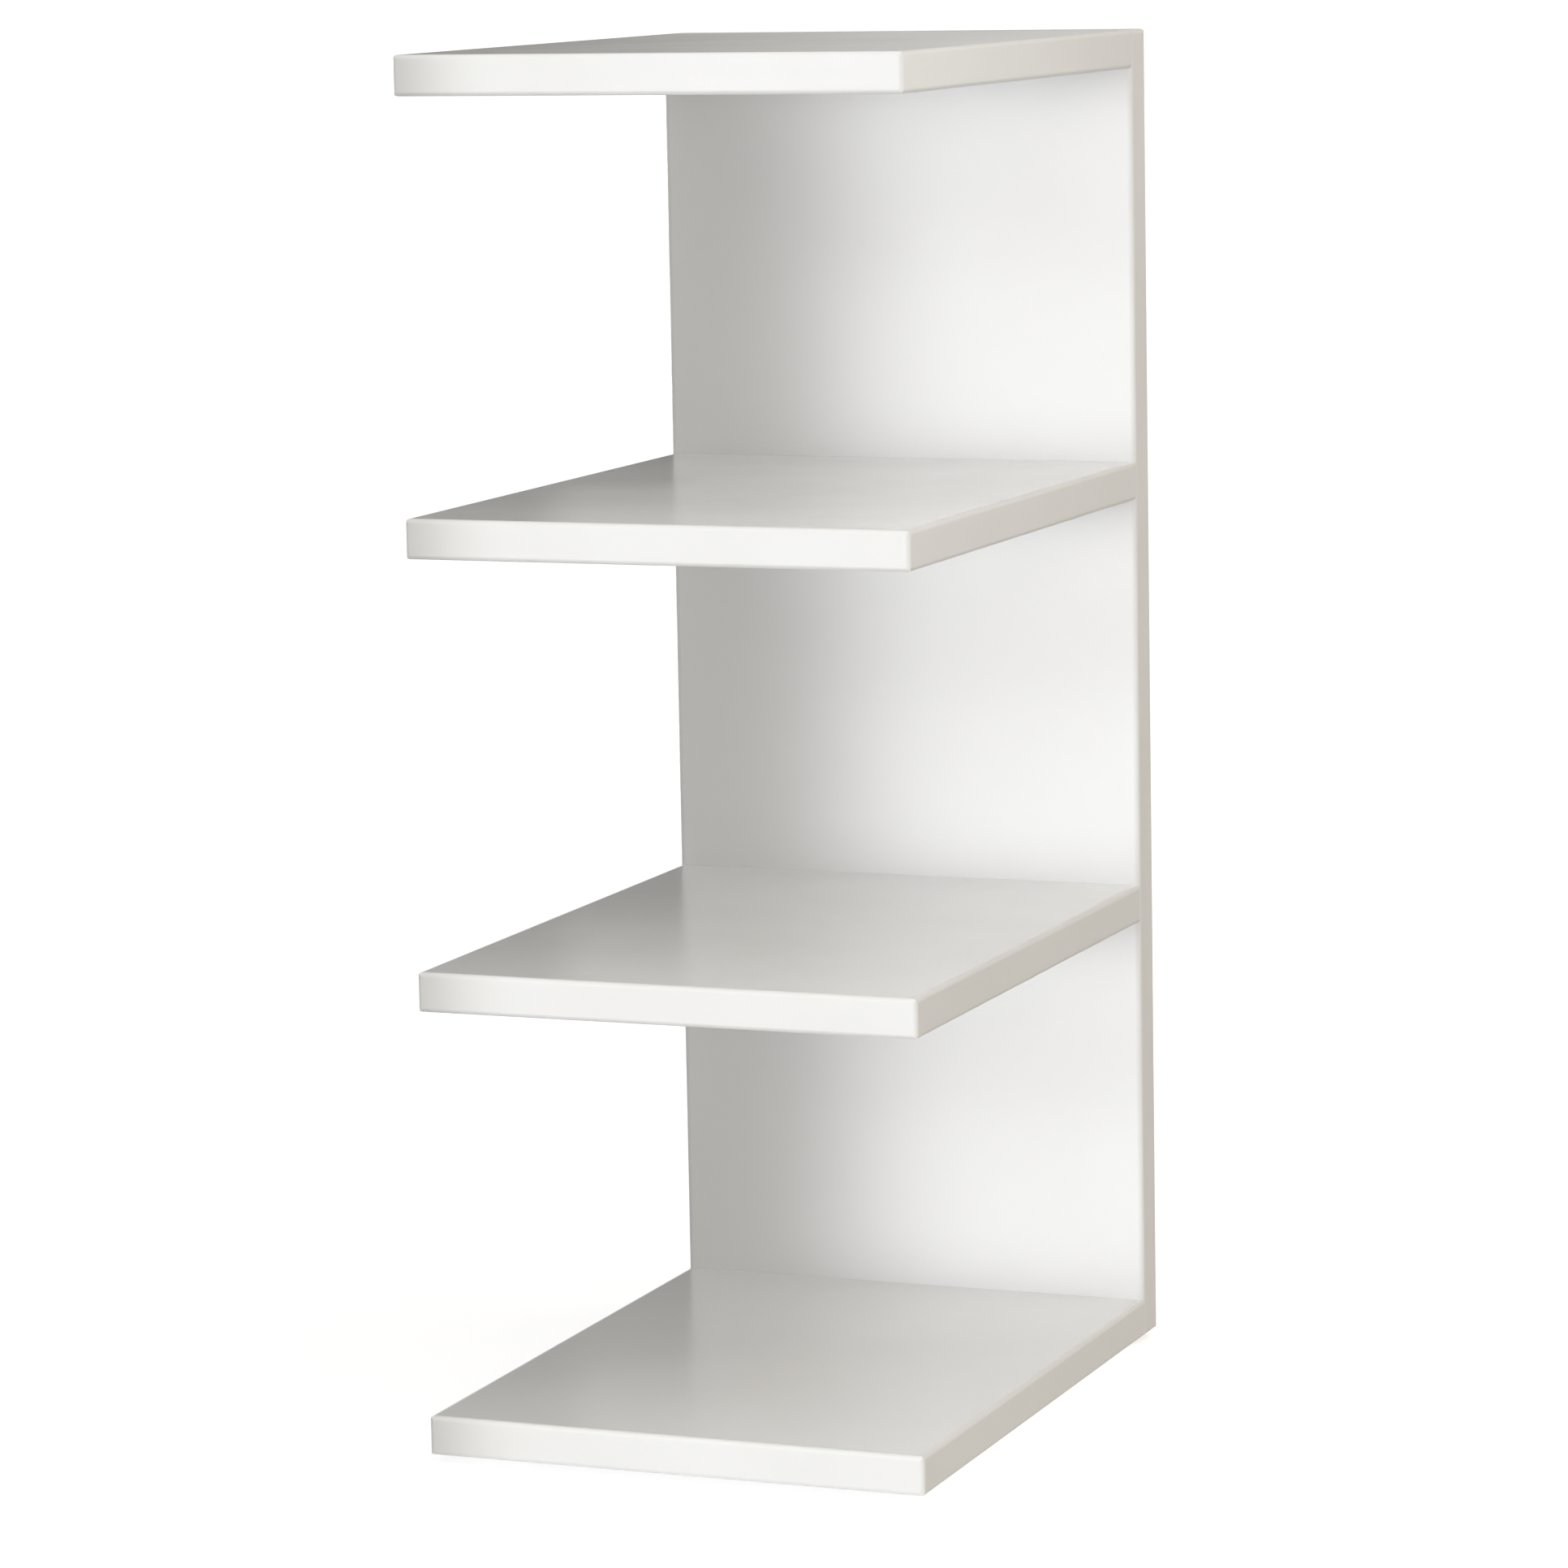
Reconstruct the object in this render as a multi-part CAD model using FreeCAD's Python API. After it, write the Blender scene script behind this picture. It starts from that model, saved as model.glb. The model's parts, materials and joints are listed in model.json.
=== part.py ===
import FreeCAD, Part
import os
from math import cos, pi, radians, sin

from FreeCAD import Placement, Rotation, Vector

# Corner shelf unit: four equal shelves stand out from one full-height back panel.
# Millimetres. +X is to the right, +Y to the rear and +Z up. The origin is on the floor,
# under the middle of the unit.

# Overall sizes
unit_width = 290.0
shelf_depth = 375.0         # front edge to the face of the back panel
bay_height = 226.0          # clear height between two shelves
shelf_names = ("bottom_shelf", "lower_shelf", "upper_shelf", "top_shelf")

# Boards and edge bands
shelf_thickness = 22.0
back_thickness = 25.0
band_thickness = 3.0
band_round = 2.5            # radius along the outer edges of a band
band_land = 0.2             # flat that a band keeps beside that radius
fit_clearance = 0.05        # round a piece in its hole

# Small round pieces and their holes have flat sides, which keeps the whole unit light to draw
disc_sides = 20             # cams, covers and glides
pin_sides = 12              # bolts, dowels, nails and screws

# Cam joint between shelf and panel
cam_inset = 49.0            # side of the unit to a cam
cam_distance = 34.0         # face of the panel to a cam's axis
cam_seat = 4.5              # cam's axis to the shoulder of the bolt's head
cam_wall = 2.5              # thinnest wall of a cam, at the bolt's way in
cam_web = 1.3               # closed end of a cam, above its hollow
cam_setback = 0.4           # face of a cam below the board's surface
cam_slot_angle = 200.0      # how far the slot for the bolt's neck runs round
cam_lock_angle = 120.0      # turn from the bolt's way in to the locked place
cam_throw = 1.2             # how far the hollow closes in along the slot
spiral_step = 20.0          # turn between two points of the hollow
seat_clearance = 0.1
neck_clearance = 0.3
head_clearance = 0.3
drive_arm = 4.0             # cross recess: axis to the end of an arm
drive_half_width = 0.9
drive_depth = 3.0

# Bolt that a cam pulls on
bolt_thread_radius = 2.5
bolt_thread_length = 11.0
bolt_shaft_radius = 3.0
bolt_neck_radius = 2.0
bolt_neck_margin = 0.8      # neck beyond the outside of the cam
bolt_head_radius = 3.3
bolt_head_length = 4.4
bolt_shoulder_slope = 1.3   # length of the shoulder's cone over its rise
bolt_bore_radius = 4.0
bolt_hole_spare = 1.0       # hole beyond the bolt's tip

# Stick-on cover over a cam
cover_overlap = 1.0         # rim of a cover beyond the cam's bore
cover_thickness = 0.6

# Dowels
dowel_radius = 4.0
dowel_in_panel = 15.0
dowel_in_shelf = 25.0
dowel_chamfer = 1.0
dowel_hole_spare = 1.5      # hole beyond the dowel's front end

# Floor glides and their nails
glide_height = 5.0
glide_radius = 10.0
glide_foot_radius = 8.0
glide_edge_height = 2.0
glide_inset = 38.0          # edges of the unit to a glide's axis
nail_pocket_radius = 3.4
nail_pocket_depth = 2.6
nail_head_radius = 2.8
nail_head_thickness = 1.0
nail_radius = 1.1
nail_grip = 12.0            # straight part of the nail in the board
nail_point = 3.0

# Keyhole hangers let into the rear face
hanger_inset = 55.0         # side of the unit to a hanger's middle
hanger_drop = 90.0          # top of the unit to a hanger's middle
hanger_thickness = 1.5
hanger_end_radius = 9.0
hanger_screw_span = 34.0    # between a plate's two screws
keyhole_entry_radius = 4.5
keyhole_slot_radius = 2.3
keyhole_travel = 9.0        # way in to the end of the slot
pocket_margin = 1.5         # room round the wall screw's head
pocket_depth = 6.0          # behind the plate
screw_radius = 1.75
screw_head_radius = 3.4
screw_head_depth = 1.4
screw_grip = 10.0           # straight part of the screw in the board
screw_point = 3.0
tip_radius = 0.2            # blunt tips of nails and screws

# Values worked out from those above
up = Vector(0, 0, 1)
across = Vector(1, 0, 0)
half_width = unit_width / 2
half_depth = (shelf_depth + back_thickness) / 2
panel_face = half_depth - back_thickness
shelf_step = shelf_thickness + bay_height
shelf_floors = [glide_height + index * shelf_step for index in range(len(shelf_names))]
unit_top = shelf_floors[-1] + shelf_thickness
band_radius = min(band_round, band_thickness - band_land)

bolt_height = shelf_thickness / 2
slot_half_height = bolt_neck_radius + neck_clearance
hollow_half_height = bolt_head_radius + head_clearance
lock_radius = cam_seat - bolt_shoulder_slope * neck_clearance + seat_clearance
entry_radius = lock_radius + cam_throw * cam_lock_angle / cam_slot_angle
cam_radius = entry_radius + cam_wall
cam_bore_radius = cam_radius + fit_clearance
cam_bore_depth = bolt_height + hollow_half_height + cam_web
cam_y = panel_face - cam_distance
cam_spots = (cam_inset - half_width, half_width - cam_inset)

forward = Rotation(up, Vector(0, -1, 0))


def block(x_range, y_range, z_range):
    """A box between two values on each axis."""
    corner = Vector(x_range[0], y_range[0], z_range[0])
    sizes = [high - low for low, high in (x_range, y_range, z_range)]
    return Part.makeBox(*sizes, corner)


def closed(points):
    """A flat face inside a ring of points."""
    return Part.Face(Part.makePolygon(points + points[:1]))


def turned(profile, sides):
    """A solid with flat sides about the upright axis, from (radius, height) points."""
    turns = [2 * pi * side / sides for side in range(sides)]
    rings = [
        [Vector(radius * cos(turn), radius * sin(turn), height) for turn in turns]
        for radius, height in profile
    ]
    faces = [closed(rings[0]), closed(rings[-1])]
    for lower, upper in zip(rings, rings[1:]):
        for side in range(sides):
            faces.append(closed([lower[side - 1], lower[side], upper[side], upper[side - 1]]))
    return Part.Solid(Part.Shell(faces))


def rod(radius, start, end, sides=pin_sides):
    """A straight solid with flat sides along the upright axis."""
    return turned([(radius, start), (radius, end)], sides)


def placed(shape, spot, rotation=Rotation()):
    """A copy of a shape with its own origin moved to a spot."""
    copy = shape.copy()
    copy.Placement = Placement(spot, rotation)
    return copy


def without(shape, cutters):
    """One solid with the cutters taken out of it."""
    return shape.cut(cutters).Solids[0]


def rounded(strip, *tests):
    """A strip with the edges that pass every test rounded."""
    edges = [edge for edge in strip.Edges if all(test(edge) for test in tests)]
    return strip.makeFillet(band_radius, edges)


def shared(first, second):
    """The solid that two roundings of one strip have in common, which mitres their corners."""
    return first.common(second).removeSplitter().Solids[0]


def export(name, solids):
    """Writes one piece, or a group of equal pieces, as one named node."""
    shape = solids[0] if len(solids) == 1 else Part.makeCompound(solids)
    shape.exportStep(f"parts/{name}.step")


def lies_at(axis, value):
    """A test for edges that lie in the plane where one coordinate has this value."""
    return lambda edge: all(
        abs(getattr(vertex.Point, axis) - value) < band_land / 2 for vertex in edge.Vertexes
    )


def runs_along(axis):
    """A test for edges that are parallel to one axis."""
    return lambda edge: all(
        abs(getattr(edge.Vertexes[0].Point - edge.Vertexes[1].Point, other)) < band_land / 2
        for other in "xyz"
        if other != axis
    )


# Edge bands


def front_band(floor):
    """Full-width band that closes the front ends of the side bands and has their outline."""
    heights = (floor, floor + shelf_thickness)
    strip = block((-half_width, half_width), (-half_depth, band_thickness - half_depth), heights)
    return shared(rounded(strip, lies_at("y", -half_depth)), rounded(strip, runs_along("y")))


def side_band(side, floor):
    """Band along one side of a shelf, from the front band to the back panel."""
    inner, outer = side * (half_width - band_thickness), side * half_width
    heights = (floor, floor + shelf_thickness)
    strip = block(sorted((inner, outer)), (band_thickness - half_depth, panel_face), heights)
    return rounded(strip, lies_at("x", outer), runs_along("y"))


def back_side_band(side):
    """Full-height band along one side of the back panel, with the top band's outline at its top."""
    inner, outer = side * (half_width - band_thickness), side * half_width
    strip = block(sorted((inner, outer)), (panel_face, half_depth), (glide_height, unit_top))
    top_edges = lies_at("z", unit_top), runs_along("x")
    return shared(rounded(strip, lies_at("x", outer)), rounded(strip, *top_edges))


def back_top_band():
    """Band along the top of the back panel, between the side bands."""
    reach = half_width - band_thickness
    heights = (unit_top - band_thickness, unit_top)
    strip = block((-reach, reach), (panel_face, half_depth), heights)
    return rounded(strip, lies_at("z", unit_top), runs_along("x"))


# Joinery, each piece about its own origin


def dowel():
    """Beech dowel along +Z, with its origin at the joint."""
    blunt = dowel_radius - dowel_chamfer
    profile = [
        (blunt, -dowel_in_panel),
        (dowel_radius, dowel_chamfer - dowel_in_panel),
        (dowel_radius, dowel_in_shelf - dowel_chamfer),
        (blunt, dowel_in_shelf),
    ]
    return turned(profile, pin_sides)


def cam_bolt():
    """Bolt along +Z, with its origin where its shaft seats on the panel."""
    shoulder = cam_distance - cam_seat
    neck_start = cam_distance - cam_radius - bolt_neck_margin
    cone_end = shoulder + bolt_shoulder_slope * (bolt_head_radius - bolt_neck_radius)
    profile = [
        (bolt_thread_radius, -bolt_thread_length),
        (bolt_thread_radius, 0),
        (bolt_shaft_radius, 0),
        (bolt_shaft_radius, neck_start),
        (bolt_neck_radius, neck_start),
        (bolt_neck_radius, shoulder),
        (bolt_head_radius, cone_end),
        (bolt_head_radius, shoulder + bolt_head_length),
    ]
    return turned(profile, pin_sides)


def cam_point(radius, turn):
    """Place in plan on the cam at this turn along its slot, where the bolt comes from +Y."""
    angle = radians(90 - cam_lock_angle + turn)
    return Vector(radius * cos(angle), radius * sin(angle), 0)


def hollow_radius(turn):
    """Radius of the hollow, which closes in along the slot and opens again behind it."""
    if turn <= cam_slot_angle:
        return entry_radius - cam_throw * turn / cam_slot_angle
    return entry_radius - cam_throw * (360 - turn) / (360 - cam_slot_angle)


def about_bolt(outline, half_height):
    """Upright prism over an outline in plan, half above and half below the bolt's axis."""
    prism = closed(outline).extrude(up * 2 * half_height)
    return placed(prism, up * (bolt_height - half_height))


def cross(arm, half_breadth, height):
    """Upright prism with a cross outline."""
    long_range, short_range = (-arm, arm), (-half_breadth, half_breadth)
    bar = block(long_range, short_range, (0, height))
    return bar.fuse(block(short_range, long_range, (0, height))).removeSplitter()


def cam():
    """Cam about its own axis, with the board's underside at height 0."""
    body = rod(cam_radius, cam_setback, cam_bore_depth, disc_sides)
    turns = [spiral_step * step for step in range(round(360 / spiral_step))]
    hollow = [cam_point(hollow_radius(turn), turn) for turn in turns]
    slot = [cam_point(2 * cam_radius, turn) for turn in turns if turn <= cam_slot_angle]
    entry = rod(hollow_half_height, 0, 2 * cam_radius)
    cutters = [
        about_bolt(hollow, hollow_half_height),
        about_bolt([Vector()] + slot, slot_half_height),
        placed(entry, up * bolt_height, Rotation(up, cam_point(1, 0))),
        placed(cross(drive_arm, drive_half_width, drive_depth), up * cam_setback),
    ]
    return without(body, cutters)


def cam_cover():
    """Stick-on disc under a cam, with the board's underside at height 0."""
    return rod(cam_bore_radius + cover_overlap, -cover_thickness, 0, disc_sides)


# Holes of one shelf joint, about the middle of the joint on the panel's face


def shelf_bores(floor):
    """What is drilled out of a shelf."""
    joint = Vector(0, panel_face, floor + bolt_height)
    dowel_bore = rod(dowel_radius + fit_clearance, 0, dowel_in_shelf + dowel_hole_spare)
    bolt_bore = rod(bolt_bore_radius, 0, cam_distance)
    cam_bore = rod(cam_bore_radius, 0, cam_bore_depth, disc_sides)
    bores = [placed(dowel_bore, joint, forward)]
    for x in cam_spots:
        bores.append(placed(bolt_bore, joint + across * x, forward))
        bores.append(placed(cam_bore, Vector(x, cam_y, floor)))
    return bores


def panel_bores(floor):
    """What is drilled out of the panel's face for one shelf."""
    joint = Vector(0, panel_face, floor + bolt_height)
    dowel_bore = rod(dowel_radius + fit_clearance, -dowel_in_panel, 0)
    bolt_hole = rod(bolt_thread_radius + fit_clearance, -bolt_thread_length - bolt_hole_spare, 0)
    bores = [placed(dowel_bore, joint, forward)]
    return bores + [placed(bolt_hole, joint + across * x, forward) for x in cam_spots]


# Floor glides


glide_spots = [
    Vector(x, y, 0)
    for y in (glide_inset - half_depth, half_depth - back_thickness / 2)
    for x in (glide_inset - half_width, half_width - glide_inset)
]


def glide():
    """Round glide that stands on the floor at height 0."""
    body = turned(
        [
            (glide_foot_radius, 0),
            (glide_radius, glide_edge_height),
            (glide_radius, glide_height),
        ],
        disc_sides,
    )
    hole = nail_radius + fit_clearance
    pocket = rod(nail_pocket_radius, 0, nail_pocket_depth)
    return without(body, [pocket, rod(hole, 0, glide_height)])


def glide_nail():
    """Nail whose head seats in the glide's pocket."""
    seat = nail_pocket_depth
    straight_end = glide_height + nail_grip
    profile = [
        (nail_head_radius, seat - nail_head_thickness),
        (nail_head_radius, seat),
        (nail_radius, seat),
        (nail_radius, straight_end),
        (tip_radius, straight_end + nail_point),
    ]
    return turned(profile, pin_sides)


def nail_hole(spot):
    """Hole of one nail in the board above its glide."""
    radius, top = nail_radius + fit_clearance, glide_height + nail_grip + nail_point
    return placed(rod(radius, glide_height, top), spot)


# Keyhole hangers, about the middle of a plate on the panel's rear face, with -Y into the panel


hanger_spots = [
    Vector(side * (half_width - hanger_inset), half_depth, unit_top - hanger_drop)
    for side in (-1, 1)
]
keyhole_heights = (-keyhole_travel / 2, keyhole_travel / 2)
screw_heights = (-hanger_screw_span / 2, hanger_screw_span / 2)


def obround(radius, heights, depth):
    """Prism of this depth along -Y between two round ends at the two heights."""
    low, high = heights
    side = Vector(radius, 0, 0)
    bottom, top = up * low, up * high
    outline = Part.Wire(
        [
            Part.Arc(bottom + side, bottom - up * radius, bottom - side).toShape(),
            Part.LineSegment(bottom - side, top - side).toShape(),
            Part.Arc(top - side, top + up * radius, top + side).toShape(),
            Part.LineSegment(top + side, bottom + side).toShape(),
        ]
    )
    return Part.Face(outline).extrude(Vector(0, -depth, 0))


def hanger_screw():
    """Countersunk screw along +Z, with its origin at the face of its head."""
    straight_end = screw_head_depth + screw_grip
    profile = [
        (screw_head_radius, 0),
        (screw_radius, screw_head_depth),
        (screw_radius, straight_end),
        (tip_radius, straight_end + screw_point),
    ]
    return turned(profile, pin_sides)


def screw_hole():
    """Countersunk hole of a hanger screw."""
    head, shank = screw_head_radius + fit_clearance, screw_radius + fit_clearance
    depth = screw_head_depth + screw_grip + screw_point
    return turned([(head, 0), (shank, screw_head_depth), (shank, depth)], pin_sides)


def hanger_plate():
    """Round-ended plate with a keyhole between its two screw holes."""
    plate = obround(hanger_end_radius, screw_heights, hanger_thickness)
    entry = Part.makeCylinder(keyhole_entry_radius, hanger_thickness)
    entry = placed(entry, up * keyhole_heights[0], forward)
    slot = obround(keyhole_slot_radius, keyhole_heights, hanger_thickness)
    holes = [placed(screw_hole(), up * height, forward) for height in screw_heights]
    return without(plate, [entry, slot] + holes)


def hanger_recess(spot):
    """What is routed and drilled out of the panel for one hanger."""
    head_room = keyhole_entry_radius + pocket_margin
    cutters = [
        obround(hanger_end_radius + fit_clearance, screw_heights, hanger_thickness),
        obround(head_room, keyhole_heights, hanger_thickness + pocket_depth),
    ]
    cutters = [placed(cutter, spot) for cutter in cutters]
    for height in screw_heights:
        cutters.append(placed(screw_hole(), spot + up * height, forward))
    return cutters


# Boards


def shelf_board(floor, extra_cutters=()):
    """Core of one shelf, inside its bands."""
    reach = half_width - band_thickness
    core = block(
        (-reach, reach), (band_thickness - half_depth, panel_face), (floor, floor + shelf_thickness)
    )
    return without(core, shelf_bores(floor) + list(extra_cutters))


def back_board():
    """Core of the back panel, inside its bands."""
    reach = half_width - band_thickness
    core = block(
        (-reach, reach), (panel_face, half_depth), (glide_height, unit_top - band_thickness)
    )
    cutters = [bore for floor in shelf_floors for bore in panel_bores(floor)]
    cutters += [cutter for spot in hanger_spots for cutter in hanger_recess(spot)]
    cutters += [nail_hole(spot) for spot in glide_spots if spot.y > panel_face]
    return without(core, cutters)


# The whole unit, one file for each named piece

os.makedirs("parts", exist_ok=True)

export("back_panel", [back_board()])
export("back_left_band", [back_side_band(-1)])
export("back_right_band", [back_side_band(1)])
export("back_top_band", [back_top_band()])

for name, floor in zip(shelf_names, shelf_floors):
    is_bottom = floor == shelf_floors[0]
    nail_holes = [nail_hole(spot) for spot in glide_spots if spot.y < panel_face]
    joint = Vector(0, panel_face, floor + bolt_height)
    export(name, [shelf_board(floor, nail_holes if is_bottom else ())])
    export(f"{name}_front_band", [front_band(floor)])
    export(f"{name}_left_band", [side_band(-1, floor)])
    export(f"{name}_right_band", [side_band(1, floor)])
    export(f"{name}_dowel", [placed(dowel(), joint, forward)])
    export(f"{name}_cam_bolts", [placed(cam_bolt(), joint + across * x, forward) for x in cam_spots])
    export(f"{name}_cams", [placed(cam(), Vector(x, cam_y, floor)) for x in cam_spots])
    export(f"{name}_cam_covers", [placed(cam_cover(), Vector(x, cam_y, floor)) for x in cam_spots])

export("floor_glides", [placed(glide(), spot) for spot in glide_spots])
export("glide_nails", [placed(glide_nail(), spot) for spot in glide_spots])

for side_name, spot in zip(("left", "right"), hanger_spots):
    export(f"{side_name}_wall_hanger", [placed(hanger_plate(), spot)])
export(
    "hanger_screws",
    [
        placed(hanger_screw(), spot + up * height, forward)
        for spot in hanger_spots
        for height in screw_heights
    ],
)
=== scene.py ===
# %% [markdown]
# # A white shelf unit on a pale floor
#
# Four white boards stand out from one tall back panel, with nothing at their sides. Every piece comes
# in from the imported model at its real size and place, so this lesson never moves or resizes a board.
# It places the camera, gives each surface its finish, models the small round fittings again with finer
# curves, and then sets up the floor and the light.

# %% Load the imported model
import json
import math

import bmesh
import bpy
from mathutils import Matrix, Vector


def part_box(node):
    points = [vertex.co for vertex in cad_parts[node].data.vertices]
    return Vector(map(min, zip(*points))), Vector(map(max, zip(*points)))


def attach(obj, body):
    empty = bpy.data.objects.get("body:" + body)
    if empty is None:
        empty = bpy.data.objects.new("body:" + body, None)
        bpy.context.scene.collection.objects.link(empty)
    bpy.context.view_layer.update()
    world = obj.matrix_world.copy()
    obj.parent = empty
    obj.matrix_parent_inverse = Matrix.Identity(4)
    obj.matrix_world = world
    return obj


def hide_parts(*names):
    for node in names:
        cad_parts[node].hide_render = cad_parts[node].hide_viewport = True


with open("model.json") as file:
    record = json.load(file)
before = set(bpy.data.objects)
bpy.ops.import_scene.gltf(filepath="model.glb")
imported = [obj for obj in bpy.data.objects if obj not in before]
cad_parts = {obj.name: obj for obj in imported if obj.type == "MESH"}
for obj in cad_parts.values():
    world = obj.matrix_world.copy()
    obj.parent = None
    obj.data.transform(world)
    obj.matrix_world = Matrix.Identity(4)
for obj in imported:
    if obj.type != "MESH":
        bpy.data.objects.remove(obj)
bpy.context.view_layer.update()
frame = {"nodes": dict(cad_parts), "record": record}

mm = 0.001

# %% [markdown]
# ## The camera
#
# The photograph looks at the unit from its front right and a little above it, through a long lens.
# A camera can be aimed with a Track To constraint, but the photograph also leans by about a degree.
# So three turns are multiplied instead: the lean about the line of sight, the tilt below the horizon,
# and the swing about the upright axis.

# %% Place the camera
camera_spot = Vector((1.2357, -3.1242, 0.8573))
camera_lens = 138.3
swing = math.radians(21.70)
tilt = math.radians(-8.50)
lean = math.radians(-1.07)

bpy.ops.object.camera_add()
camera = bpy.context.object
camera.name = "photo_camera"
camera.data.lens = camera_lens
camera.matrix_world = (
    Matrix.Translation(camera_spot)
    @ Matrix.Rotation(swing, 4, "Z")
    @ Matrix.Rotation(math.pi / 2 + tilt, 4, "X")
    @ Matrix.Rotation(lean, 4, "Z")
)
bpy.context.scene.camera = camera
print("camera", round(camera_spot.length, 2), "m from the middle of the unit's floor")

# %% [markdown]
# ## Nodes by a few helpers
#
# A finish is a small tree of shader nodes. Made by hand, each node is added, set and wired in turn,
# and in code the same three steps come back for every node. One helper does them: a value that is a
# socket is wired, and any other value is typed into the input. The other helpers use it for the kinds
# of node that come back most often. A Mix node has sockets for every kind of data, some with the same
# name, so those in use are told apart by number.

# %% Helpers that add, set and wire nodes
share_place = 0
first_value_place, second_value_place, mixed_value_place = 2, 3, 0
first_colour_place, second_colour_place, mixed_colour_place = 6, 7, 2


def node(tree, kind, inputs=None, **settings):
    """A shader node of this kind. Its inputs are values to type in or sockets to wire."""
    made = tree.nodes.new("ShaderNode" + kind)
    for name, value in settings.items():
        setattr(made, name, value)
    for key, value in (inputs or {}).items():
        if isinstance(value, bpy.types.NodeSocket):
            tree.links.new(value, made.inputs[key])
        else:
            made.inputs[key].default_value = value
    return made


def mix(tree, share, first, second):
    """First colour where share is 0, second where it is 1."""
    blend = node(tree, "Mix", {share_place: share}, data_type="RGBA")
    for place, value in ((first_colour_place, first), (second_colour_place, second)):
        if isinstance(value, bpy.types.NodeSocket):
            tree.links.new(value, blend.inputs[place])
        else:
            blend.inputs[place].default_value = (*value, 1.0)
    return blend.outputs[mixed_colour_place]


def pick_between(tree, share, first, second):
    """First number where share is 0, second where it is 1."""
    numbers = {share_place: share, first_value_place: first, second_value_place: second}
    return node(tree, "Mix", numbers, data_type="FLOAT").outputs[mixed_value_place]


def maths(tree, operation, *values):
    """What a Math node makes of these numbers and sockets."""
    return node(tree, "Math", dict(enumerate(values)), operation=operation).outputs["Value"]


def ease(tree, value, start, stop, high=1.0):
    """Goes softly from 0 to high as the value goes from start to stop."""
    reach = {"Value": value, "From Min": start, "From Max": stop, "To Max": high}
    return node(tree, "MapRange", reach, interpolation_type="SMOOTHSTEP").outputs["Result"]


print("node helpers ready")

# %% [markdown]
# ## Effects that several finishes share
#
# A node group is a subtree with named sockets, built once and placed in many materials with other
# values. Three effects are shared here. Mottle is the soft cloudiness that keeps any surface from one
# flat value, and at a fine scale it is also the ripple of lacquer or the grain of moulded plastic.
# Streaks are drawn-out marks, such as the lines along an extruded band and the grain of wood. Chips
# are the pressed wood flakes inside a board. Each reads Object coordinates, which stay put on a piece
# in real metres, so a scale of 500 means details of about two millimetres.

# %% Build the shared node groups
noise_low, noise_high = 0.3, 0.7
cloud_detail = 3.0
line_detail = 2.0
flake_dark = (0.30, 0.19, 0.10)
flake_light = (0.62, 0.47, 0.30)


def new_group(name, inputs, outputs):
    """An empty group with these sockets, and its inner input and output nodes."""
    tree = bpy.data.node_groups.new(name, "ShaderNodeTree")
    for socket, default in inputs.items():
        kind = "NodeSocketVector" if isinstance(default, tuple) else "NodeSocketFloat"
        tree.interface.new_socket(socket, in_out="INPUT", socket_type=kind).default_value = default
    for socket, kind in outputs.items():
        tree.interface.new_socket(socket, in_out="OUTPUT", socket_type="NodeSocket" + kind)
    return tree, tree.nodes.new("NodeGroupInput"), tree.nodes.new("NodeGroupOutput")


def spread_out(tree, value, low, high):
    """Noise keeps near 0.5, so the stretch that it uses is spread from low to high."""
    levels = {"Value": value, "From Min": noise_low, "From Max": noise_high, "To Min": low, "To Max": high}
    return node(tree, "MapRange", levels).outputs["Result"]


def mottle_group():
    sockets = {"Scale": 10.0, "Low": 0.0, "High": 1.0}
    tree, given, result = new_group("mottle", sockets, {"Value": "Float"})
    place = node(tree, "TexCoord").outputs["Object"]
    noise = {"Vector": place, "Scale": given.outputs["Scale"], "Detail": cloud_detail}
    cloud = node(tree, "TexNoise", noise).outputs["Fac"]
    value = spread_out(tree, cloud, given.outputs["Low"], given.outputs["High"])
    tree.links.new(value, result.inputs["Value"])
    return tree


def streak_group():
    sockets = {"Fineness": (10.0, 10.0, 10.0), "Low": 0.0, "High": 1.0}
    tree, given, result = new_group("streaks", sockets, {"Value": "Float"})
    place = node(tree, "TexCoord").outputs["Object"]
    drawn = node(tree, "VectorMath", {0: place, 1: given.outputs["Fineness"]}, operation="MULTIPLY")
    noise = {"Vector": drawn.outputs["Vector"], "Scale": 1.0, "Detail": line_detail}
    lines = node(tree, "TexNoise", noise).outputs["Fac"]
    value = spread_out(tree, lines, given.outputs["Low"], given.outputs["High"])
    tree.links.new(value, result.inputs["Value"])
    return tree


def chip_group():
    tree, given, result = new_group("chips", {"Scale": 400.0}, {"Color": "Color", "Height": "Float"})
    place = node(tree, "TexCoord").outputs["Object"]
    cells = {"Vector": place, "Scale": given.outputs["Scale"], "Randomness": 1.0}
    flakes = node(tree, "TexVoronoi", cells)
    shade = node(tree, "SeparateColor", {"Color": flakes.outputs["Color"]}).outputs["Red"]
    tree.links.new(mix(tree, shade, flake_dark, flake_light), result.inputs["Color"])
    tree.links.new(flakes.outputs["Distance"], result.inputs["Height"])
    return tree


mottle, streaks, chips = mottle_group(), streak_group(), chip_group()
print("groups:", [tree.name for tree in (mottle, streaks, chips)])

# %% [markdown]
# ## Placing a group in a finish
#
# Each finish starts from a new material, whose Principled BSDF stays in the material itself. What is
# the same all over, such as how metallic a screw is, is typed into the shader. What varies comes from
# the groups and feeds its colour, its roughness and the height of a bump.


# %% Helpers for a new finish
def new_finish(name, constants):
    """A material, its node tree and its shader, with the constants typed in."""
    material = bpy.data.materials.new(name)
    material.use_nodes = True
    shader = material.node_tree.nodes["Principled BSDF"]
    for socket, value in constants.items():
        shader.inputs[socket].default_value = value
    return material, material.node_tree, shader


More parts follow.
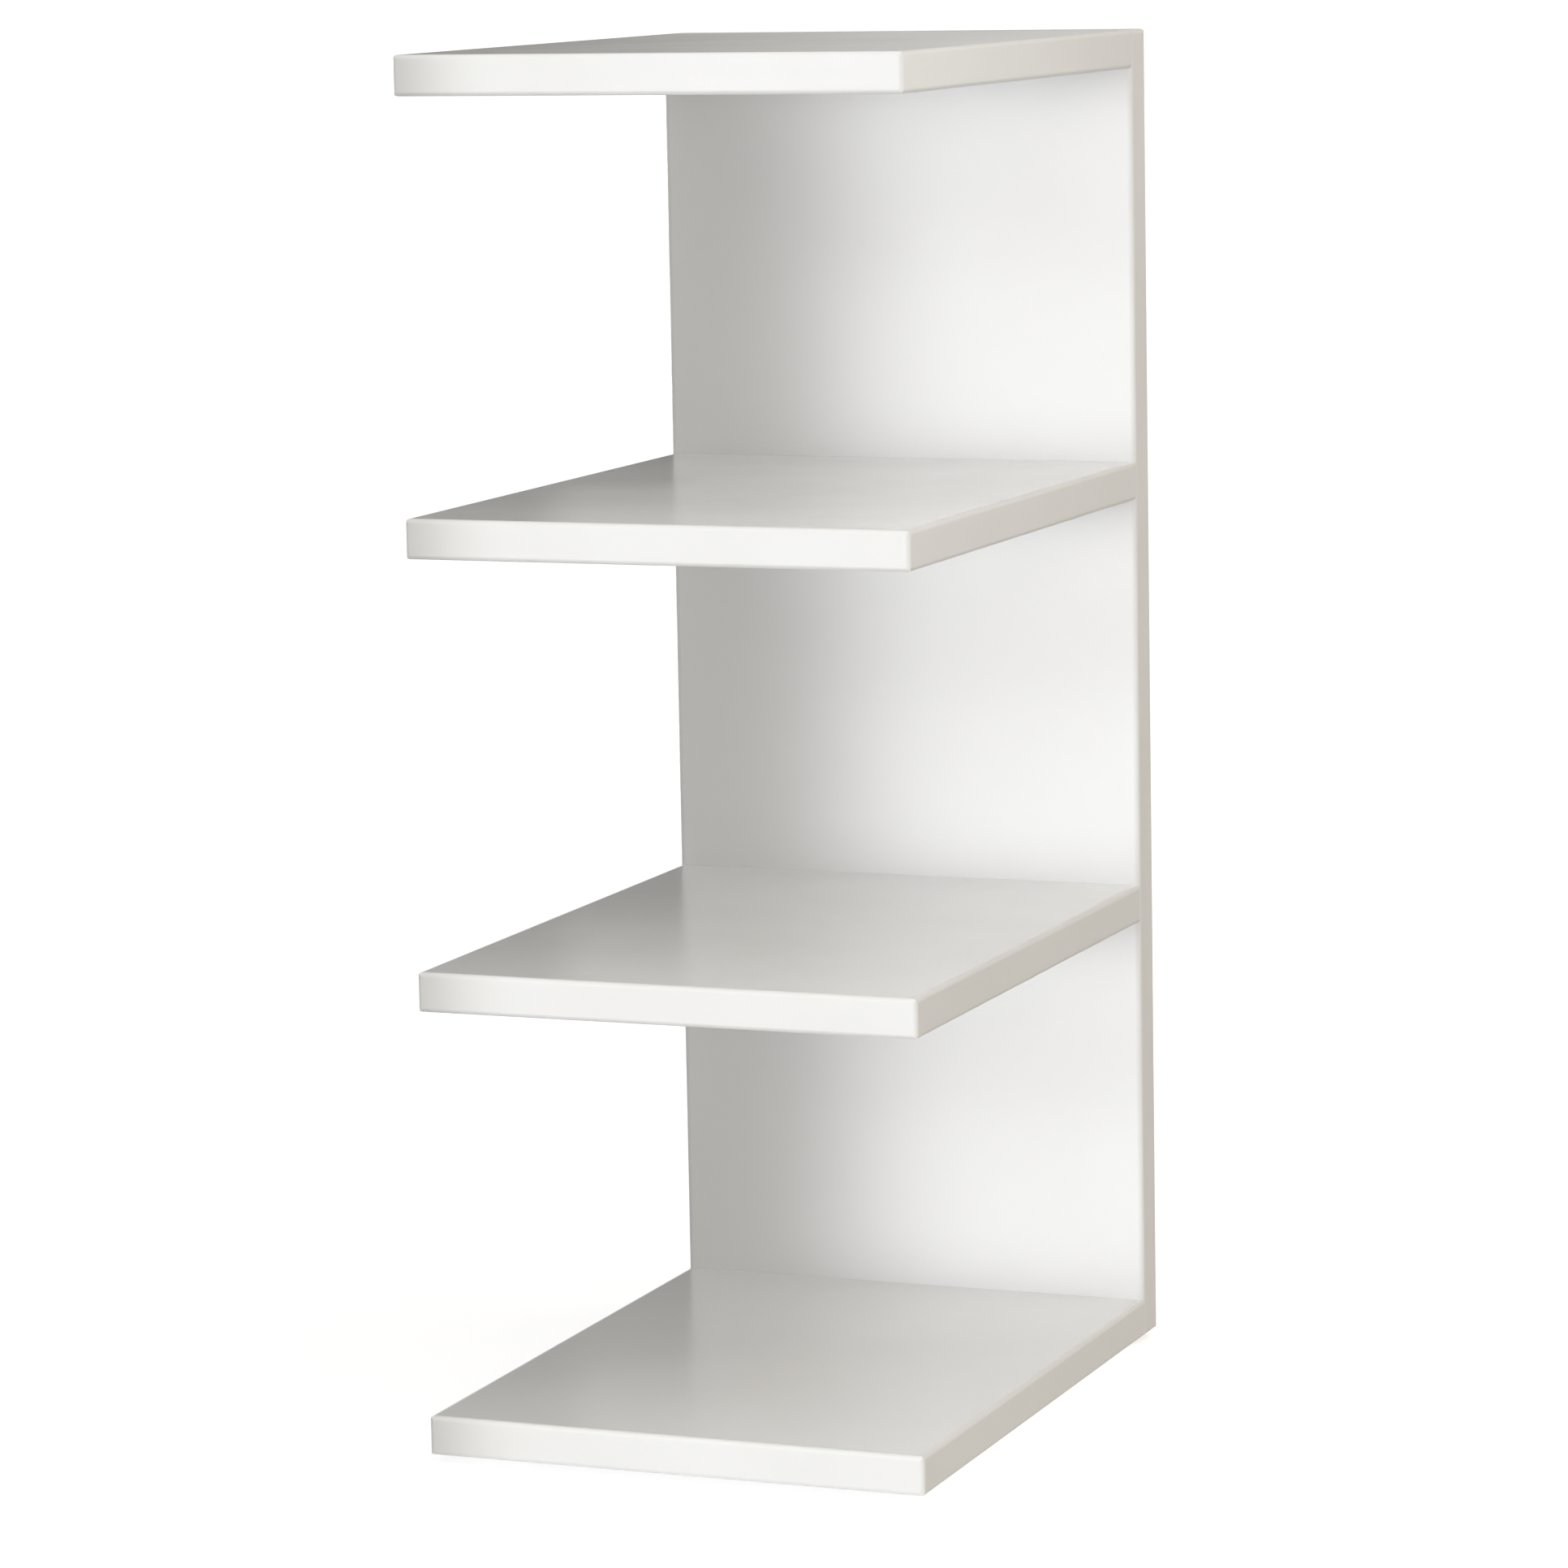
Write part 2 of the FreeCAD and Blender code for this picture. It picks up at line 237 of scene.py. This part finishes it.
def use(tree, group, **values):
    """One of the shared groups, placed in a material with its own values."""
    placed = node(tree, "Group", node_tree=group)
    for socket, value in values.items():
        placed.inputs[socket].default_value = value
    return placed.outputs


def raise_surface(tree, shader, height, depth, strength):
    """Small relief of this depth in metres, from a height that runs from 0 to 1."""
    bump = node(tree, "Bump", {"Height": height, "Distance": depth, "Strength": strength})
    tree.links.new(bump.outputs["Normal"], shader.inputs["Normal"])


print("finish helpers ready")

# %% [markdown]
# ## White board
#
# The shelves and the panel are chipboard under a white satin skin. The skin reflects softly, with a
# ripple too fine to see except in the reflections. Where a board is cut or bored, its flakes show: on
# the bottom edge of the panel, which has no band, and inside the holes. Such faces all lie between
# the board's two skins, so one coordinate tells them apart, and one function serves the upright panel
# and the level shelves. On the shelves the skin is folded a little way over the rear edge, which shows
# in the groove beside the panel's top band. The panel's skin is duller than the shelves'.

# %% Finish the boards
y_axis, z_axis = 1, 2
board_white = (0.859, 0.859, 0.862)
board_shade = (0.835, 0.835, 0.837)
board_ior = 1.5
shelf_skin = 3.0 * mm
panel_skin = 0.25 * mm
shelf_gloss = (0.20, 0.24)
panel_gloss = (0.44, 0.50)
core_roughness = 0.85
shade_scale = 7.0
gloss_scale = 11.0
ripple_scale = 650.0
flake_scale = 420.0
board_relief = 0.05 * mm
board_relief_strength = 0.04


def board_finish(name, axis, low, high, skin, gloss):
    """White skin on the two faces across this axis, and chipboard between them."""
    material, tree, shader = new_finish(name, {"IOR": board_ior})
    place = node(tree, "TexCoord").outputs["Object"]
    level = node(tree, "SeparateXYZ", {"Vector": place}).outputs[axis]
    middle, half = (low + high) / 2, (high - low) / 2 - skin
    core = maths(tree, "COMPARE", level, middle, half)
    core_chips = use(tree, chips, Scale=flake_scale)
    cloud = use(tree, mottle, Scale=shade_scale)["Value"]
    colour = mix(tree, core, mix(tree, cloud, board_shade, board_white), core_chips["Color"])
    tree.links.new(colour, shader.inputs["Base Color"])
    satin = use(tree, mottle, Scale=gloss_scale, Low=gloss[0], High=gloss[1])["Value"]
    tree.links.new(pick_between(tree, core, satin, core_roughness), shader.inputs["Roughness"])
    ripple = use(tree, mottle, Scale=ripple_scale)["Value"]
    height = pick_between(tree, core, ripple, core_chips["Height"])
    raise_surface(tree, shader, height, board_relief, board_relief_strength)
    return material


def dress(name, material):
    """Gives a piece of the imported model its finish."""
    for place in frame["nodes"][name].material_slots:
        place.material = material


shelf_make = (z_axis, shelf_skin, shelf_gloss)
panel_make = (y_axis, panel_skin, panel_gloss)
shelves = [name for name in frame["nodes"] if name.endswith("_shelf")]
for name in ["back_panel"] + shelves:
    axis, skin, gloss = shelf_make if name in shelves else panel_make
    low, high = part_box(name)
    dress(name, board_finish(name + "_skin", axis, low[axis], high[axis], skin, gloss))
print("white board on", shelves, "and the panel")

# %% [markdown]
# ## Edge band
#
# Every edge that shows is closed by a plastic band, pressed through a slit when it was made, so its
# faint lines run along its length. The same finish is made three times, once for each direction in
# which a band can run: fine across the band, and drawn out along it.

# %% Finish the bands
band_white = (0.828, 0.825, 0.819)
band_shade = (0.80, 0.796, 0.787)
band_ior = 1.5
band_gloss = (0.42, 0.50)
band_shade_scale = 9.0
line_fineness = 1800.0
line_draw = 6.0
line_relief = 0.02 * mm
line_strength = 0.02


def band_finish(axis):
    """Band whose extrusion lines run along this axis."""
    material, tree, shader = new_finish("band_along_" + "xyz"[axis], {"IOR": band_ior})
    fineness = [line_fineness] * 3
    fineness[axis] = line_draw
    cloud = use(tree, mottle, Scale=band_shade_scale)["Value"]
    tree.links.new(mix(tree, cloud, band_shade, band_white), shader.inputs["Base Color"])
    sheen = use(tree, streaks, Fineness=fineness, Low=band_gloss[0], High=band_gloss[1])["Value"]
    tree.links.new(sheen, shader.inputs["Roughness"])
    lines = use(tree, streaks, Fineness=fineness)["Value"]
    raise_surface(tree, shader, lines, line_relief, line_strength)
    return material


band_runs = [band_finish(axis) for axis in range(3)]
bands = [name for name in frame["nodes"] if name.endswith("_band")]
for name in bands:
    low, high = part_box(name)
    sides = list(high - low)
    dress(name, band_runs[sides.index(max(sides))])
print(len(bands), "edge bands")

# %% [markdown]
# ## Fittings inside the joints
#
# Each shelf hangs on two bolts with their cams, beside a beech dowel. They are hidden once the unit is
# together, but the model can be taken apart, so they get their real finishes too: long grain for the
# beech, a grainy casting for the cams, and plating for the bolts and the hanger plates. One function
# makes both metals, and later the plastics: a cloudy colour, a cloudy gloss and a fine grain, each at
# its own scale.

# %% Finish beech, casting and plating
beech_dark = (0.46, 0.27, 0.13)
beech_light = (0.66, 0.46, 0.27)
beech_ior = 1.45
beech_rough = (0.5, 0.7)
beech_rough_scale = 200.0
beech_fineness = (900.0, 30.0, 900.0)
beech_relief = 0.1 * mm
beech_relief_strength = 0.3
small_relief = 0.05 * mm
metal = {"Metallic": 1.0}


def beech_finish():
    """Wood with its grain along the dowels."""
    material, tree, shader = new_finish("beech", {"IOR": beech_ior})
    grain = use(tree, streaks, Fineness=beech_fineness)["Value"]
    tree.links.new(mix(tree, grain, beech_dark, beech_light), shader.inputs["Base Color"])
    sheen = use(tree, mottle, Scale=beech_rough_scale, Low=beech_rough[0], High=beech_rough[1])["Value"]
    tree.links.new(sheen, shader.inputs["Roughness"])
    raise_surface(tree, shader, grain, beech_relief, beech_relief_strength)
    return material


def small_finish(name, constants, dark, bright, rough, scales, relief_strength):
    """Finish of a small piece. The scales are those of its colour, its gloss and its grain."""
    material, tree, shader = new_finish(name, constants)
    for_colour, for_gloss, for_grain = scales
    cloud = use(tree, mottle, Scale=for_colour)["Value"]
    tree.links.new(mix(tree, cloud, dark, bright), shader.inputs["Base Color"])
    sheen = use(tree, mottle, Scale=for_gloss, Low=rough[0], High=rough[1])["Value"]
    tree.links.new(sheen, shader.inputs["Roughness"])
    height = use(tree, mottle, Scale=for_grain)["Value"]
    raise_surface(tree, shader, height, small_relief, relief_strength)
    return material


beech = beech_finish()
cast_zinc = small_finish(
    "cast_zinc", metal, dark=(0.42, 0.42, 0.43), bright=(0.55, 0.55, 0.56), rough=(0.38, 0.5),
    scales=(120.0, 300.0, 1600.0), relief_strength=0.4,
)
plating = small_finish(
    "plated_steel", metal, dark=(0.58, 0.59, 0.61), bright=(0.68, 0.69, 0.71), rough=(0.30, 0.38),
    scales=(120.0, 300.0, 900.0), relief_strength=0.03,
)
fittings = {"_dowel": beech, "_cams": cast_zinc, "_cam_bolts": plating, "_wall_hanger": plating}
for name in frame["nodes"]:
    for ending, material in fittings.items():
        if name.endswith(ending):
            dress(name, material)
print("finishes for", list(fittings))

# %% [markdown]
# ## Moulded plastic and film
#
# The glides under the unit are moulded in off-white plastic with a fine sparked texture from the
# mould. The discs that cover the cams are a thin film, close to the boards in colour. The function
# that made the metals makes both, with a plastic's refraction, another colour and another grain.

# %% Finish the plastics
plastic = {"IOR": 1.47}

glide_plastic = small_finish(
    "glide_plastic", plastic, dark=(0.62, 0.60, 0.55), bright=(0.70, 0.68, 0.63), rough=(0.42, 0.55),
    scales=(60.0, 250.0, 2200.0), relief_strength=0.3,
)
cover_film = small_finish(
    "cover_film", plastic, dark=(0.76, 0.75, 0.72), bright=(0.80, 0.79, 0.76), rough=(0.38, 0.46),
    scales=(60.0, 250.0, 1500.0), relief_strength=0.1,
)
print("plastics:", glide_plastic.name, cover_film.name)

# %% [markdown]
# ## Modelling by hand, in code
#
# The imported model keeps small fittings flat-sided, to stay light. They are modelled again here as one
# would with the mouse: add a primitive at its size and place, go into edit mode, select faces or edges
# and work on them. The selection is made by a test on where they lie, because there is no mouse.

# %% Helpers for modelling
round_sides = 48
touch = 0.02 * mm
smooth_angle = math.radians(35)


def begin(primitive, name, **shape):
    """A new primitive, alone selected, with its place applied and edit mode on."""
    bpy.ops.object.select_all(action="DESELECT")
    getattr(bpy.ops.mesh, f"primitive_{primitive}_add")(**shape)
    bpy.context.object.name = name
    bpy.ops.object.transform_apply(location=True, rotation=True, scale=True)
    bpy.ops.object.mode_set(mode="EDIT")
    return bpy.context.object


def choose(piece, kind, test):
    """Selects the faces or edges whose corners all pass the test."""
    bpy.ops.mesh.select_mode(type=kind)
    bpy.ops.mesh.select_all(action="DESELECT")
    shape = bmesh.from_edit_mesh(piece.data)
    for element in shape.faces if kind == "FACE" else shape.edges:
        element.select_set(all(test(corner.co) for corner in element.verts))
    bmesh.update_edit_mesh(piece.data)


def extrude(move):
    """Draws the selected faces out by this much along each axis."""
    bpy.ops.mesh.extrude_region_move(TRANSFORM_OT_translate={"value": move})


def end(piece):
    """Back to object mode, with flat faces kept flat and curved ones smoothed."""
    bpy.ops.mesh.select_all(action="SELECT")
    bpy.ops.mesh.normals_make_consistent(inside=False)
    bpy.ops.object.mode_set(mode="OBJECT")
    bpy.ops.object.shade_smooth_by_angle(angle=smooth_angle)


def copies(piece, name, spots):
    """The piece, modelled at the first spot, and a copy with its own mesh at each of the others."""
    made = [piece]
    for spot in spots[1:]:
        twin = piece.copy()
        twin.data = piece.data.copy()
        twin.data.transform(Matrix.Translation(spot - spots[0]))
        bpy.context.collection.objects.link(twin)
        made.append(twin)
    for index, one in enumerate(made, 1):
        one.name = f"{name}_{index}"
    return made


def hand_over(pieces, finish, slot, *stood_for):
    """Finish and body of new pieces, which stand for these nodes. The slot argument is not used."""
    for piece in pieces:
        piece.data.materials.clear()
        piece.data.materials.append(finish)
        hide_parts(*stood_for)
        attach(piece, "root")
    print(len(pieces), "pieces like", pieces[0].name, "with", len(pieces[0].data.polygons), "faces each")


print("modelling helpers ready")

# %% [markdown]
# ## Floor glides
#
# The unit stands on four round glides, nailed up from below. Each is a short cylinder whose foot is
# rounded by a bevel, with a pocket for the nail's head made by an inset and an extrude. The nail's
# hole is bridged from the pocket through to the top. A lathe-like spin of a profile would do as well,
# but these few steps keep every size readable.

# %% Model the glides
glide_low, glide_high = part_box("floor_glides")
floor_mounts = [mount for mount in frame["record"]["mounts"] if mount["name"].startswith("floor_")]
glide_spots = [Vector(mount["pos_m"]) for mount in floor_mounts]
glide_spot = glide_spots[0]
left_glide_x = min(spot.x for spot in glide_spots)
glide_radius = left_glide_x - glide_low.x
glide_height = glide_high.z - glide_low.z
foot_round = 2.0 * mm
pocket_radius = 3.4 * mm
pocket_depth = 2.6 * mm
nail_hole_radius = 1.15 * mm
rim_round = 0.3 * mm
foot_steps = 6
rim_steps = 2


def away(point):
    """Distance of a corner from the axis of the first glide."""
    return (point - glide_spot).xy.length


glide = begin(
    "cylinder", "floor_glide", vertices=round_sides, radius=glide_radius, depth=glide_height,
    location=glide_spot + Vector((0, 0, glide_height / 2)),
)
choose(glide, "EDGE", lambda point: point.z < touch)
bpy.ops.mesh.bevel(offset=foot_round, segments=foot_steps)
choose(glide, "EDGE", lambda point: point.z > glide_height - touch)
bpy.ops.mesh.bevel(offset=rim_round, segments=rim_steps)
choose(glide, "FACE", lambda point: point.z < touch)
bpy.ops.mesh.inset(thickness=glide_radius - foot_round - pocket_radius)
extrude((0, 0, pocket_depth))
bpy.ops.mesh.inset(thickness=pocket_radius - nail_hole_radius)
choose(glide, "FACE", lambda point: point.z > glide_height - touch)
bpy.ops.mesh.inset(thickness=glide_radius - rim_round - nail_hole_radius)
choose(glide, "FACE", lambda point: away(point) < nail_hole_radius + touch)
bpy.ops.mesh.bridge_edge_loops()
choose(glide, "EDGE", lambda point: point.z < touch and away(point) < pocket_radius + touch)
bpy.ops.mesh.bevel(offset=rim_round, segments=rim_steps)
end(glide)
hand_over(copies(glide, "floor_glide", glide_spots), glide_plastic, "glide_plastic", "floor_glides")

# %% [markdown]
# ## Glide nails
#
# A nail is drawn up from its head: a flat cylinder with a domed face, an inset for the shank, and two
# extrudes, the second of them shrunk to the point.

# %% Model the nails
nail_low, nail_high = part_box("glide_nails")
nail_head_radius = left_glide_x - nail_low.x
nail_head_thickness = 1.0 * mm
nail_head_round = 0.5 * nail_head_thickness
nail_head_steps = 4
nail_radius = 1.1 * mm
nail_point = 3.0 * mm
tip_share = 0.2
head_top = nail_low.z + nail_head_thickness
head_middle = nail_low.z + nail_head_thickness / 2

nail = begin(
    "cylinder", "glide_nail", vertices=round_sides, radius=nail_head_radius, depth=nail_head_thickness,
    location=glide_spot + Vector((0, 0, head_middle)),
)
choose(nail, "EDGE", lambda point: point.z < nail_low.z + touch)
bpy.ops.mesh.bevel(offset=nail_head_round, segments=nail_head_steps)
choose(nail, "FACE", lambda point: point.z > head_top - touch)
bpy.ops.mesh.inset(thickness=nail_head_radius - nail_radius)
extrude((0, 0, nail_high.z - nail_low.z - nail_head_thickness - nail_point))
extrude((0, 0, nail_point))
nail_end = (glide_spot.x, glide_spot.y, nail_high.z)
bpy.ops.transform.resize(value=(tip_share, tip_share, 1), center_override=nail_end)
end(nail)
hand_over(copies(nail, "glide_nail", glide_spots), plating, "plated_steel", "glide_nails")

# %% [markdown]
# ## Cam covers
#
# Under each shelf, two thin white discs hide the cams. A disc with a sharp rim would look like a hole
# in the board, so its lower rim is rounded and catches a line of light.

# %% Model the cover discs
cover_round = 0.25 * mm
cover_steps = 3

for name in shelves:
    low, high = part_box(name + "_cam_covers")
    radius = (high.y - low.y) / 2
    middle = (low + high) / 2
    cover_spots = [Vector((x, middle.y, middle.z)) for x in (low.x + radius, high.x - radius)]
    cover = begin(
        "cylinder", "cover", vertices=round_sides, radius=radius, depth=high.z - low.z,
        location=cover_spots[0],
    )
    choose(cover, "EDGE", lambda point: point.z < low.z + touch)
    bpy.ops.mesh.bevel(offset=cover_round, segments=cover_steps)
    end(cover)
    discs = copies(cover, name + "_cover", cover_spots)
    hand_over(discs, cover_film, "cover_film", name + "_cam_covers")

# %% [markdown]
# ## Hanger screws
#
# Two countersunk screws hold each hanger plate to the panel. The head is a disc that is extruded and
# shrunk into a cone, then a shank, then a point. The cross for the driver is cut by a Boolean
# modifier with two small tapered cutters, one for each bar, and each is deleted once it has cut.

# %% Model the hanger screws
screw_low, screw_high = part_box("hanger_screws")
screw_head_radius = 3.4 * mm
screw_radius = 1.75 * mm
screw_head_depth = 1.4 * mm
screw_point = 3.0 * mm
cross_arm = 1.9 * mm
cross_half_width = 0.45 * mm
cross_depth = 1.1 * mm
cutter_taper = 0.5
inward = Vector((0, -1, 0))
screw_spots = [
    Vector((x, screw_high.y, z))
    for x in (screw_low.x + screw_head_radius, screw_high.x - screw_head_radius)
    for z in (screw_low.z + screw_head_radius, screw_high.z - screw_head_radius)
]
screw_spot = screw_spots[0]


def shrink_to(share):
    """Shrinks what is selected towards the axis of the first screw."""
    bpy.ops.transform.resize(value=(share, 1, share), center_override=tuple(screw_spot))


screw = begin(
    "circle", "hanger_screw", vertices=round_sides, radius=screw_head_radius, fill_type="NGON",
    location=screw_spot, rotation=(-math.pi / 2, 0, 0),
)
extrude(inward * screw_head_depth)
shrink_to(screw_radius / screw_head_radius)
extrude(inward * (screw_high.y - screw_low.y - screw_head_depth - screw_point))
extrude(inward * screw_point)
shrink_to(tip_share)
end(screw)

for half_width, half_height in ((cross_arm, cross_half_width), (cross_half_width, cross_arm)):
    halves = (half_width, cross_depth, half_height)
    cutter = begin("cube", "cross_cutter", size=2.0, location=screw_spot, scale=halves)
    choose(cutter, "FACE", lambda point: point.y < screw_spot.y - touch)
    shrink_to(cutter_taper)
    end(cutter)
    bpy.ops.object.select_all(action="DESELECT")
    bpy.context.view_layer.objects.active = screw
    cut = screw.modifiers.new("cross", "BOOLEAN")
    cut.operation, cut.object = "DIFFERENCE", cutter
    bpy.ops.object.modifier_apply(modifier=cut.name)
    bpy.data.objects.remove(cutter)
hand_over(copies(screw, "hanger_screw", screw_spots), plating, "plated_steel", "hanger_screws")

# %% [markdown]
# ## The floor
#
# A plain pale floor carries the unit and a soft shadow. A glow keeps it as pale as the photograph's
# background. Only the camera sees the glow, and what is within a few millimetres, which brightens the
# gap under the unit. The floor's lower side is clear, so that the unit can be looked at from below.

# %% Lay the floor
floor_size = 400.0
floor_dark = (0.64, 0.64, 0.64)
floor_light = (0.66, 0.66, 0.66)
floor_cloud_scale = 3.0
floor_roughness = 0.9
floor_glow = 0.62
gap_reach = 8.0 * mm

bpy.ops.object.select_all(action="DESELECT")
bpy.ops.mesh.primitive_plane_add(size=floor_size)
floor = bpy.context.object
floor.name = "floor"
floor_make = {"Roughness": floor_roughness, "Emission Color": (1, 1, 1, 1)}
pale, tree, shader = new_finish("pale_floor", floor_make)
cloud = use(tree, mottle, Scale=floor_cloud_scale)["Value"]
tree.links.new(mix(tree, cloud, floor_dark, floor_light), shader.inputs["Base Color"])
rays = node(tree, "LightPath").outputs
near = maths(tree, "LESS_THAN", rays["Ray Length"], gap_reach)
shown = maths(tree, "MAXIMUM", rays["Is Camera Ray"], near)
tree.links.new(maths(tree, "MULTIPLY", shown, floor_glow), shader.inputs["Emission Strength"])
lower_side = node(tree, "NewGeometry").outputs["Backfacing"]
clear = node(tree, "BsdfTransparent").outputs["BSDF"]
one_way = node(tree, "MixShader", {0: lower_side, 1: shader.outputs["BSDF"], 2: clear})
tree.links.new(one_way.outputs["Shader"], tree.nodes["Material Output"].inputs["Surface"])
floor.data.materials.append(pale)
floor.visible_glossy = False
floor.visible_shadow = False
print("floor", floor_size, "m wide")

# %% [markdown]
# ## A glowing card for painted reflections
#
# The satin shelves mirror what stands behind the unit, past the panel's left edge. Seen in the tops,
# that is dark low down, and paler higher up, which is what the front of a shelf mirrors. A glowing card
# behind the left edge paints this as a reflection: black low in each bay, painted shade as if a shelf's
# shadow lay on a wall there, and a glowing pale patch higher up, a painted reflection of lit wall. The
# higher the shelf, the lower its patch starts, because the upper shelves are seen at a flatter angle.
# The camera doesn't see the card, and it throws no shadow and no soft light on the unit, so it shows in
# the reflections alone.

# %% Stand the card behind the left edge
card_width = 0.4
card_gap = 5.0 * mm
painted_reflection_glow = 0.35
lowest_fade = 0.115
highest_fade = 0.02
fade_start = 0.35
patch_reach = 0.07
patch_end = 0.115

panel_low, panel_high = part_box("back_panel")
shelf_tops = sorted(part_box(name)[1].z for name in shelves)
bay_step = shelf_tops[1] - shelf_tops[0]
card_height = shelf_tops[-1]
bpy.ops.mesh.primitive_plane_add(size=1.0, rotation=(math.pi / 2, 0, 0))
card = bpy.context.object
card.name = "painted_reflection_card"
card.scale = (card_width, card_height, 1)
card.location = (panel_low.x - card_gap - card_width / 2, panel_high.y, card_height / 2)
bpy.ops.object.transform_apply(location=True, rotation=True, scale=True)
# The card's glow is painted light: black where it paints shade, pale where it paints a lit wall in the
# reflections.
card_make = {"Base Color": (0, 0, 0, 1), "Specular IOR Level": 0.0, "Emission Color": (1, 1, 1, 1)}
painted_reflection_finish, tree, shader = new_finish("painted_reflection_card", card_make)
place = node(tree, "SeparateXYZ", {"Vector": node(tree, "TexCoord").outputs["Object"]}).outputs
raised = maths(tree, "SUBTRACT", place["Z"], shelf_tops[0])
above_shelf = maths(tree, "FLOORED_MODULO", raised, bay_step)
heights = {"Value": place["Z"], "From Max": card_height, "To Min": lowest_fade, "To Max": highest_fade}
painted_shadow_height = node(tree, "MapRange", heights).outputs["Result"]
risen = maths(tree, "DIVIDE", above_shelf, painted_shadow_height)
# Painted shadow just above each shelf, painted light higher up in the bay.
painted_light_above = ease(tree, risen, fade_start, 1.0, painted_reflection_glow)
painted_light_near = ease(tree, place["X"], panel_low.x - patch_end, panel_low.x - patch_reach)
tree.links.new(maths(tree, "MULTIPLY", painted_light_above, painted_light_near), shader.inputs["Emission Strength"])
card.data.materials.append(painted_reflection_finish)
card.visible_camera = False
card.visible_diffuse = False
card.visible_shadow = False
print("card for the reflections", card_width, "m wide")

# %% [markdown]
# ## The light
#
# The photograph has soft light without hard shadows. It comes from a glowing room and from lamps. The
# room is a world whose glow is the sum of a few broad patches: low at the front, over the front, above,
# warmer at the right, and low behind the unit. Each patch fades in along one or more directions. The
# camera sees the room as plain white. Reflections see grey below the horizon, because the floor is kept
# out of them.
#
# Four gridded softboxes, whose spread is narrow, add beams. Two stand at the front, a level one and a
# weaker one that looks down. They point a little to the right, so they brighten the front edges and
# the right half of the panel. The third, at the rear left, lights the back and the left side. The
# fourth, high at the right, makes the upper right edges lighter than the lower ones.

# %% Set up the room and the softboxes
room_patches = [
    ((2.58, 2.56, 2.50), [("Y", -0.2, -0.7), ("Z", 0.14, 0.02)]),
    ((0.70, 0.70, 0.69), [("Y", 0.0, -0.3), ("Z", 0.4, 0.6)]),
    ((0.84, 0.84, 0.83), [("Z", 0.6, 0.95)]),
    ((1.37, 1.245, 1.065), [("X", 0.3, 0.8), ("Z", 0.1, 0.3)]),
    ((0.91, 0.91, 0.89), [("Y", 0.4, 0.9), ("Z", 0.18, 0.04), ("X", -0.42, -0.32)]),
]
dark = (0.0, 0.0, 0.0)
room_below = (0.20, 0.20, 0.195)
horizon_blur = 0.01
softbox_height = 1.0
cool_white = (0.945, 0.972, 1.0)
cooler_white = (0.93, 0.965, 1.0)
white = (1.0, 1.0, 1.0)

studio = bpy.data.worlds.new("studio")
bpy.context.scene.world = studio
studio.use_nodes = True
tree = studio.node_tree
tree.nodes.clear()
heading = node(tree, "SeparateXYZ", {"Vector": node(tree, "TexCoord").outputs["Generated"]}).outputs
room_glow = dark
for colour, fades in room_patches:
    for axis, start, stop in fades:
        colour = mix(tree, ease(tree, heading[axis], start, stop), dark, colour)
    room_glow = node(tree, "VectorMath", {0: room_glow, 1: colour}, operation="ADD").outputs["Vector"]
below = ease(tree, heading["Z"], 0.0, -horizon_blur)
room = node(tree, "Background", {"Color": mix(tree, below, room_glow, room_below)}).outputs["Background"]
backdrop = node(tree, "Background", {"Color": (*white, 1.0)}).outputs["Background"]
seen = node(tree, "LightPath").outputs["Is Camera Ray"]
sky = node(tree, "MixShader", {0: seen, 1: room, 2: backdrop})
node(tree, "OutputWorld", {"Surface": sky.outputs["Shader"]})


def add_softbox(name, spot, width, turn, down, spread, power, colour):
    """Tall lamp with a narrow beam, turned clockwise from facing the rear and tilted down, in degrees."""
    bpy.ops.object.light_add(type="AREA", location=spot)
    softbox = bpy.context.object
    softbox.name = name
    softbox.rotation_euler = (math.radians(90 - down), 0, -math.radians(turn))
    softbox.data.shape = "RECTANGLE"
    softbox.data.size, softbox.data.size_y = width, softbox_height
    softbox.data.spread = math.radians(spread)
    softbox.data.energy = power
    softbox.data.color = colour
    softbox.visible_camera = False


add_softbox(
    "front_softbox", spot=(0.039, -0.68, 0.42), width=0.55,
    turn=13.6, down=0, spread=13, power=0.64, colour=cool_white,
)
add_softbox(
    "high_softbox", spot=(0.039, -0.68, 0.63), width=0.55,
    turn=13.6, down=17, spread=13, power=0.17, colour=cool_white,
)
add_softbox(
    "rear_softbox", spot=(-0.92, 0.97, 0.42), width=0.95,
    turn=130, down=0, spread=14, power=1.3, colour=white,
)
add_softbox(
    "right_softbox", spot=(0.95, 0.30, 1.15), width=0.40,
    turn=-122, down=8, spread=40, power=0.36, colour=cooler_white,
)
bpy.context.scene.view_settings.view_transform = "Standard"
print("room of", len(room_patches), "patches and four softboxes")
